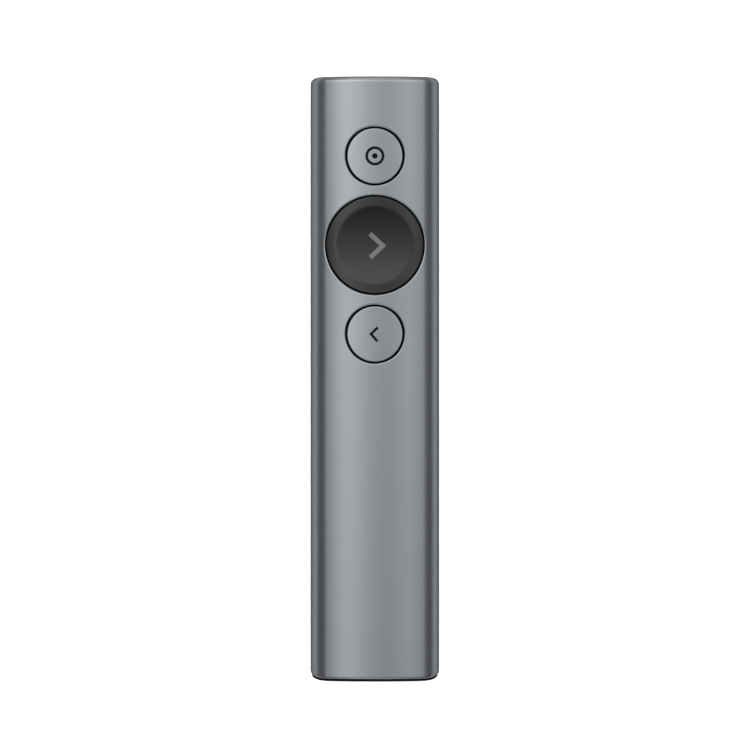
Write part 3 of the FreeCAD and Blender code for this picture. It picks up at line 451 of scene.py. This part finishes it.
def rounded_end(surface, y, radius, outward, bow):
    """A bowed end rounded over from the outer face, its flat and the start of the inner face.

    On the round the inset is the radius less its cosine part, and the place along the length
    lies the radius less its sine part in from the end.
    """
    outer = np.concatenate(loop_angles(0))
    inner = np.concatenate(loop_angles(WALL))
    back = -outward * bow
    start = y - outward * END_REACH
    rings = [ring(outer, 0, start), ring(outer, 0, y - outward * (radius + BEFORE_ROUND), back)]
    rings += [ring(outer, radius * (1 - cosine), y - outward * radius * (1 - sine), back)
              for sine, cosine in quarter_turn(ROUND_STEPS)]
    surface.grid(np.stack(rings), closed=True)
    inner_rim = ring(inner, WALL, y, back)
    surface.grid(np.stack([rings[-1], inner_rim]), closed=True)
    surface.grid(np.stack([inner_rim, ring(inner, WALL, start)]), closed=True)


sleeve = Surface()
skin(sleeve, 0, PATCH_RINGS)
skin(sleeve, WALL, INNER_RINGS)
for band, opening in zip(rows[1:4], openings):
    opening_wall(sleeve, band, opening)
rounded_end(sleeve, NOSE, NOSE_ROUND, 1, NOSE_BOW)
rounded_end(sleeve, TAIL, TAIL_ROUND, -1, TAIL_BOW)
place("clicker_sleeve", sleeve, sleeve_metal, "body", ["sleeve"])

# Button caps
# Three round caps carry the crown on across their openings. The pointer and back caps are
# shells of the sleeve's metal. The next cap is a dark moulding, dished for the thumb.
CAP_EDGE = 0.12 * MM
CAP_SKIRT = 0.8 * MM
CAP_ROOF = 1.15 * MM
NEXT_RAISED = 0.2 * MM
DISH_HALF = 8.4 * MM
DISH_BLEND = 0.05 * MM
EDGE_ROUND_STEPS = 6

# The caps share the sleeve's darkened grazing tint, the same painted shade at their rims.
cap_metal = finish("cap_metal", DYED_GREY, 0.28, metallic=1.0, grain=5200, depth=0.14,
                   vary=0.05, tint=DARK_RIM)
next_cap_plastic = finish("next_cap_plastic", (0.0008, 0.001, 0.001), 0.24, grain=7000,
                          vary=0.08, shine=0.21, tint=(0.93, 1.0, 0.96))


def plain_top(x, y):
    """The sleeve's own crown."""
    return crown_height(x)


def dished_top(x, y):
    """The lower of a crown raised a little and a trough along X, blended where they meet.

    With d the difference of the two heights and w the blend, the height is
    half of their sum less the root of d squared plus w squared.
    """
    bow = CROWN_RADIUS + NEXT_RAISED
    middle = openings[1][1]
    sag = bow - math.sqrt(bow**2 - DISH_HALF**2)
    crown = CROWN_TOP + NEXT_RAISED - (bow - np.sqrt(bow**2 - x**2))
    trough = CROWN_TOP + NEXT_RAISED - sag + bow - np.sqrt(bow**2 - (y - middle) ** 2)
    return (crown + trough - np.sqrt((crown - trough) ** 2 + DISH_BLEND**2)) / 2


def cap(node, top, raised, steps, rings):
    """A closed cap: its top over a disc of rings, a rounded edge, a skirt and a recess below."""
    x, y, radius = centre_of(node)
    low, high = box_of(node)
    unit = circle_units(steps)
    flat = radius - CAP_EDGE
    places = (x, y) + unit * (flat * np.linspace(0, 1, rings + 1)[1:, None, None])
    surface = Surface()
    disc = raise_to(places, top(places[..., 0], places[..., 1]))
    surface.grid(disc, closed=True)
    surface.fan(disc[0], (x, y, float(top(np.array(x), np.array(y)))))
    sine, cosine = (np.array(part) for part in zip(*quarter_turn(EDGE_ROUND_STEPS)))
    edge = (x, y) + unit * (flat + CAP_EDGE * sine)[:, None, None]
    heights = top(edge[..., 0], edge[..., 1]) - CAP_EDGE * (1 - cosine)[:, None]
    surface.grid(raise_to(edge, heights), closed=True)
    roof = high[2] - CAP_ROOF - raised
    outside = (x, y) + unit * radius
    inside = (x, y) + unit * (radius - CAP_SKIRT)
    levels = [raise_to(edge[-1:], heights[-1:]), raise_to(outside, np.full((1, steps), low[2])),
              raise_to(inside, np.full((1, steps), low[2])), raise_to(inside, np.full((1, steps), roof))]
    surface.grid(np.concatenate(levels), closed=True)
    surface.fan(levels[-1][0], (x, y, roof))
    return surface


place("pointer_cap", cap("pointer_button", plain_top, raised=0, steps=192, rings=24), cap_metal,
      "pointer_key", ["pointer_button"])
place("back_cap", cap("back_button", plain_top, raised=0, steps=192, rings=24), cap_metal,
      "back_key", ["back_button"])
place("next_cap", cap("next_button", dished_top, raised=NEXT_RAISED, steps=256, rings=110),
      next_cap_plastic, "next_key", ["next_button"])

# Signs on the caps
# Thin printed signs: a ring with a dot for the pointer, and a chevron each way for next and
# back. They follow the caps and stand a hundredth of a millimetre proud.
SIGN_LIFT = 0.012 * MM
SIGN_SINK = 0.03 * MM
WIDTH_STEPS, ARM_STEPS, TURN_STEPS = 6, 16, 96
POINTER_RING = (1.48, 2.07)
POINTER_DOT = (0.02, 0.6)
NEXT_CHEVRON = ((-1.1, 2.45), (1.72, -0.12), (-1.0, -2.72))
NEXT_STROKE = 1.0
BACK_CHEVRON = ((0.62, 1.45), (-0.86, 0.0), (0.55, -1.57))
BACK_STROKE = 0.58

icon_black = finish("icon_black", (0.0015, 0.0015, 0.0015), 0.5, grain=7000, vary=0.1, shine=0.04)
icon_grey = finish("icon_grey", (0.074, 0.079, 0.075), 0.5, grain=7000, vary=0.05, shine=0.2)


def sign(places, top, closed):
    """A thin closed plate over a grid of places, following the cap's top."""
    surface = Surface()
    height = top(places[..., 0], places[..., 1])
    upper = raise_to(places, height + SIGN_LIFT)
    lower = raise_to(places, height - SIGN_SINK)
    surface.grid(upper, closed)
    surface.grid(lower[::-1], closed)
    surface.grid(np.stack([lower[0], upper[0]]), closed)
    surface.grid(np.stack([upper[-1], lower[-1]]), closed)
    if not closed:
        surface.grid(np.stack([upper[:, 0], lower[:, 0]]))
        surface.grid(np.stack([lower[:, -1], upper[:, -1]]))
    return surface


def chevron(points, stroke, button):
    """A grid over a bent ribbon on a cap, with square ends. Points and stroke are in millimetres.

    At the corner the ribbon's edge runs along the sum of the two arms' unit normals, over one
    plus their dot product.
    """
    start, corner, end = (np.array(point) * MM for point in points)
    first_arm, second_arm = corner - start, end - corner
    normals = [np.array([-arm[1], arm[0]]) / np.linalg.norm(arm) for arm in (first_arm, second_arm)]
    mitre = (normals[0] + normals[1]) / (1 + normals[0] @ normals[1])
    share = np.linspace(-0.5, 0.5, WIDTH_STEPS + 1)[:, None] * stroke * MM
    first, middle, last = start + share * normals[0], corner + share * mitre, end + share * normals[1]
    step = np.linspace(0, 1, ARM_STEPS + 1)[:, None, None]
    arms = [first * (1 - step) + middle * step, (middle * (1 - step) + last * step)[1:]]
    return np.concatenate(arms) + centre_of(button)[:2]


def round_sign(radii, button):
    """A grid of places between two circles about a cap's middle. Radii are in millimetres."""
    spread = np.linspace(*radii, WIDTH_STEPS + 1)[:, None, None] * MM
    return centre_of(button)[:2] + circle_units(TURN_STEPS) * spread


place("pointer_ring", sign(round_sign(POINTER_RING, "pointer_button"), plain_top, True),
      icon_black, "pointer_key")
place("pointer_dot", sign(round_sign(POINTER_DOT, "pointer_button"), plain_top, True),
      icon_black, "pointer_key")
place("next_chevron", sign(chevron(NEXT_CHEVRON, NEXT_STROKE, "next_button"), dished_top, False),
      icon_grey, "next_key")
place("back_chevron", sign(chevron(BACK_CHEVRON, BACK_STROKE, "back_button"), plain_top, False),
      icon_black, "back_key")

# Nose plug
# Black moulded plastic that lets the radio through the metal tube. It is pressed into the nose
# with its face a little below the sleeve's rim, and is hollow behind its face.
PLUG_INSET = 1.35 * MM
SKIRT_INSET = 2.15 * MM
PLUG_EDGE = 0.15 * MM
PLATE_THICK = 1.6 * MM

# Its edges carry a painted highlight.
black_plastic = finish("black_plastic", (0.006, 0.006, 0.0065), 0.5, grain=5000, depth=0.2,
                       vary=0.1, edge_highlight=0.5, shine=0.12)


def carried(profile, closed):
    """A profile of (inset, y, bow) carried round the section, with flat ends if it is open."""
    surface = Surface()
    angles = np.concatenate(loop_angles(0))
    rings = np.stack([ring(angles, *point) for point in profile])
    if closed:
        surface.grid(np.concatenate([rings, rings[:1]]), closed=True)
    else:
        surface.grid(rings, closed=True)
        surface.fan(rings[0], (0, profile[0][1], MIDDLE))
        surface.fan(rings[-1], (0, profile[-1][1], MIDDLE))
    return surface


def rounded_corner(inset, y, radius, outward, bow):
    """Profile of a quarter round, from the end face round to the outer face."""
    return [(inset + radius * (1 - sine), y - outward * radius * (1 - cosine), bow)
            for sine, cosine in quarter_turn(EDGE_ROUND_STEPS)]


nose_root, nose_face = box_of("nose_cap")[:, 1]
nose_profile = rounded_corner(PLUG_INSET, nose_face, PLUG_EDGE, 1, -NOSE_BOW)
nose_profile += [(PLUG_INSET, nose_root, 0), (SKIRT_INSET, nose_root, 0),
                 (SKIRT_INSET, nose_face - PLATE_THICK, 0)]
place("nose_plug", carried(nose_profile, False), black_plastic, "body",
      ["nose_cap"])

# Tail lip
# A black moulded ring round the opening that the receiver slides through. Its lip covers the
# sleeve's cut end, and its neck is pressed into the bore.
LIP_INSET = 0.3 * MM
LIP_ROUND = 0.35 * MM
LIP_SEAT = 0.06 * MM

lip_plastic = finish("lip_plastic", (0.002, 0.002, 0.002), 0.6, grain=5000, depth=0.2,
                     vary=0.1, shine=0.05)

tail_face, tail_root = box_of("tail_cap")[:, 1]
tail_profile = [(SKIRT_INSET, tail_face, TAIL_BOW)]
tail_profile += rounded_corner(LIP_INSET, tail_face, LIP_ROUND, -1, TAIL_BOW)
tail_profile += [(LIP_INSET, TAIL - LIP_SEAT, TAIL_BOW), (PLUG_INSET, TAIL - LIP_SEAT, TAIL_BOW),
                 (PLUG_INSET, tail_root, 0), (SKIRT_INSET, tail_root, 0)]
place("tail_lip", carried(tail_profile, True), lip_plastic, "body",
      ["tail_cap"])

# Receiver
# The plug-in radio that is stored in the tail: a black moulded head with a nail slot, a folded
# steel shell round a plastic tongue, and gold contacts on a small laminate board.


def dress(material, *nodes):
    """Give carried-over pieces their material."""
    for node in nodes:
        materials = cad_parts[node].data.materials
        materials.clear()
        materials.append(material)


port_steel = finish("port_steel", (0.55, 0.55, 0.56), 0.22, metallic=1.0)
tongue_plastic = finish("tongue_plastic", (0.02, 0.02, 0.021), 0.4)
board_laminate = finish("board_laminate", (0.012, 0.09, 0.045), 0.35, grain=2500, vary=0.15)
dress(black_plastic, "receiver_head")
dress(port_steel, "receiver_shell")
dress(tongue_plastic, "receiver_tongue")
dress(board_laminate, "receiver_board")
dress(finish("contact_gold", (0.85, 0.55, 0.2), 0.22, metallic=1.0), "receiver_contacts")

# Receiver dock, tray and button frame
# Black mouldings that hold the parts inside: the dock behind the tail lip with two bent steel
# springs in its windows, the long tray, and the frame over the board that the caps hook into.
tray_plastic = finish("tray_plastic", (0.008, 0.008, 0.009), 0.5, grain=4000, depth=0.15, shine=0.2)
frame_plastic = finish("frame_plastic", (0.003, 0.003, 0.0035), 0.6, grain=4000, depth=0.2, shine=0.04)
dress(tray_plastic, "receiver_dock", "chassis")
dress(frame_plastic, "button_frame")
dress(finish("spring_steel", (0.52, 0.52, 0.5), 0.25, metallic=1.0, vary=0.06), "dock_springs")
# The screws' edges carry a painted highlight.
dress(finish("screw_steel", (0.4, 0.4, 0.41), 0.28, metallic=1.0, edge_highlight=0.3), "frame_screws")

# Circuit board and charging port
# Green glass laminate with black resin chips below and a ceramic antenna at the nose. The port
# is a drawn steel shell round a plastic tongue, in a notch of the board's tail.
dress(board_laminate, "main_board")
# The chips' edges carry a painted highlight.
dress(finish("chip_resin", (0.014, 0.014, 0.015), 0.45, edge_highlight=0.4), "board_chips")
dress(finish("antenna_ceramic", (0.62, 0.6, 0.54), 0.35, vary=0.08), "antenna")
dress(port_steel, "charging_port_shell")
dress(tongue_plastic, "charging_port_tongue")

# Battery and motor
# A pouch cell in crinkled foil on a pale foam pad, with a black and a red lead up to the board,
# and a coin motor in a steel can.


def left_half(nodes, links):
    """A mask that is 1 where x is below zero, and 0 elsewhere."""
    where = add_node(nodes, "TexCoord")
    split = add_node(nodes, "SeparateXYZ")
    below = add_node(nodes, "Math", {1: 0.0}, operation="LESS_THAN")
    links.new(where.outputs["Object"], split.inputs[0])
    links.new(split.outputs["X"], below.inputs[0])
    return below.outputs[0]


dress(finish("cell_foil", (0.5, 0.51, 0.53), 0.3, metallic=1.0, grain=700, depth=0.4), "battery")
dress(finish("foam_tape", (0.75, 0.74, 0.7), 0.9, grain=3000, depth=0.6), "battery_pad")
dress(finish("lead_jacket", (0.45, 0.01, 0.01), 0.4, other=(0.01, 0.01, 0.01), where=left_half),
      "battery_leads")
dress(finish("motor_steel", (0.48, 0.48, 0.47), 0.2, metallic=1.0), "vibration_motor")

# Switches
# Under each cap a moulded plunger with two hooked legs presses a snap dome of bright spring
# steel, which lies on the board.
dress(finish("dome_steel", (0.6, 0.6, 0.58), 0.25, metallic=1.0), "pointer_dome", "next_dome", "back_dome")
# The plungers' edges carry a painted highlight.
dress(finish("plunger_plastic", (0.03, 0.03, 0.032), 0.45, edge_highlight=0.3),
      "pointer_plunger", "next_plunger", "back_plunger")

# Floor and sky
# A pale floor that glows a little, as on a light table, under a wide soft sky. The sky is
# brightest in two long bands, darker towards the sides, and has more light from the nose.
FLOOR_REACH = 4.0
FLOOR_GLOW = 0.45
SKY_PEAK = 5.0
BANDS = [(-90, 1.5), (-78, 0.7), (-66, 0.42), (-52, 0.5), (-42, 0.6), (-36, 0.66), (-32, 0.8),
         (-29, 1.15), (-26, 2.9), (-23, 5.0), (-18, 4.35), (-13, 3.5), (-8, 2.75), (-2, 2.2), (6, 1.7),
         (14, 2.05), (20, 2.9), (24, 4.1), (28, 2.6), (32, 1.35), (38, 1.0), (46, 0.72),
         (62, 0.42), (76, 0.5), (90, 1.1)]
LENGTHWISE = [(-1.0, 1.0), (-0.85, 1.2), (-0.7, 1.0), (-0.55, 0.32), (-0.41, 0.22), (-0.2, 0.6),
              (-0.07, 0.97), (0.07, 1.15), (0.2, 1.8), (0.4, 2.4), (0.52, 1.15), (0.68, 0.95),
              (0.85, 1.7), (0.93, 1.2), (1.0, 0.9)]

floor_mesh = bpy.data.meshes.new("floor")
floor_corners = [(-FLOOR_REACH, -FLOOR_REACH, 0), (FLOOR_REACH, -FLOOR_REACH, 0),
                 (FLOOR_REACH, FLOOR_REACH, 0), (-FLOOR_REACH, FLOOR_REACH, 0)]
floor_mesh.from_pydata(floor_corners, [], [(0, 1, 2, 3)])
floor = bpy.data.objects.new("floor", floor_mesh)
bpy.context.scene.collection.objects.link(floor)
floor_paint = finish("floor_paint", (0.86, 0.86, 0.86), 0.7, grain=300, depth=0.02, vary=0.01, shine=0.2)
floor_shader = floor_paint.node_tree.nodes["Principled BSDF"]
floor_shader.inputs["Emission Color"].default_value = (1, 1, 1, 1)
floor_shader.inputs["Emission Strength"].default_value = FLOOR_GLOW
floor.data.materials.append(floor_paint)


def brightness(nodes, links, source, pairs):
    """The brightness that pairs of place and brightness give along a source, eased between.

    The source is spread from the first to the last place, and each brightness is a share of
    the peak.
    """
    low, high = pairs[0][0], pairs[-1][0]
    share = add_node(nodes, "MapRange", {"From Min": low, "From Max": high})
    links.new(source, share.inputs["Value"])
    ramp = add_node(nodes, "ValToRGB")
    ramp.color_ramp.interpolation = "EASE"
    elements = ramp.color_ramp.elements
    while len(elements) < len(pairs):
        elements.new(0.5)
    for element, (where, value) in zip(elements, pairs):
        element.position = (where - low) / (high - low)
        element.color = (value / SKY_PEAK, value / SKY_PEAK, value / SKY_PEAK, 1)
    links.new(share.outputs["Result"], ramp.inputs["Fac"])
    return ramp.outputs["Color"]


sky = bpy.data.worlds.new("studio")
bpy.context.scene.world = sky
sky.use_nodes = True
nodes, links = sky.node_tree.nodes, sky.node_tree.links
direction = add_node(nodes, "TexCoord")
split = add_node(nodes, "SeparateXYZ")
links.new(direction.outputs["Generated"], split.inputs[0])
across = add_node(nodes, "Math", operation="ARCTAN2")
links.new(split.outputs["X"], across.inputs[0])
links.new(split.outputs["Z"], across.inputs[1])
degrees = add_node(nodes, "Math", {1: 180 / math.pi}, operation="MULTIPLY")
links.new(across.outputs[0], degrees.inputs[0])
both = add_node(nodes, "Mix", data_type="RGBA", blend_type="MULTIPLY")
both.inputs["Factor"].default_value = 1.0
links.new(brightness(nodes, links, degrees.outputs[0], BANDS), both.inputs["A"])
links.new(brightness(nodes, links, split.outputs["Y"], LENGTHWISE), both.inputs["B"])
background = nodes["Background"]
background.inputs["Strength"].default_value = SKY_PEAK**2
links.new(both.outputs["Result"], background.inputs["Color"])

# Camera
# Straight above, a metre away, with the nose at the top of the picture. The lens is chosen so
# that the picture's width at the height of the caps is the width given here.
PICTURE_PIXELS = 748
PIXEL_SIZE = 0.21692 * MM
PICTURE_WIDTH = PICTURE_PIXELS * PIXEL_SIZE
CAMERA_HEIGHT = 1.0
CAP_PLANE = 10.7 * MM
CAMERA_X, CAMERA_Y = -0.19 * MM, 1.04 * MM
SENSOR = 36.0

camera_data = bpy.data.cameras.new("camera")
camera_data.sensor_width = SENSOR
camera_data.lens = SENSOR * (CAMERA_HEIGHT - CAP_PLANE) / PICTURE_WIDTH
camera_data.clip_start, camera_data.clip_end = 0.01, 20.0
camera = bpy.data.objects.new("camera", camera_data)
bpy.context.scene.collection.objects.link(camera)
camera.location = (CAMERA_X, CAMERA_Y, CAMERA_HEIGHT)
bpy.context.scene.camera = camera
bpy.context.scene.view_settings.view_transform = "Standard"
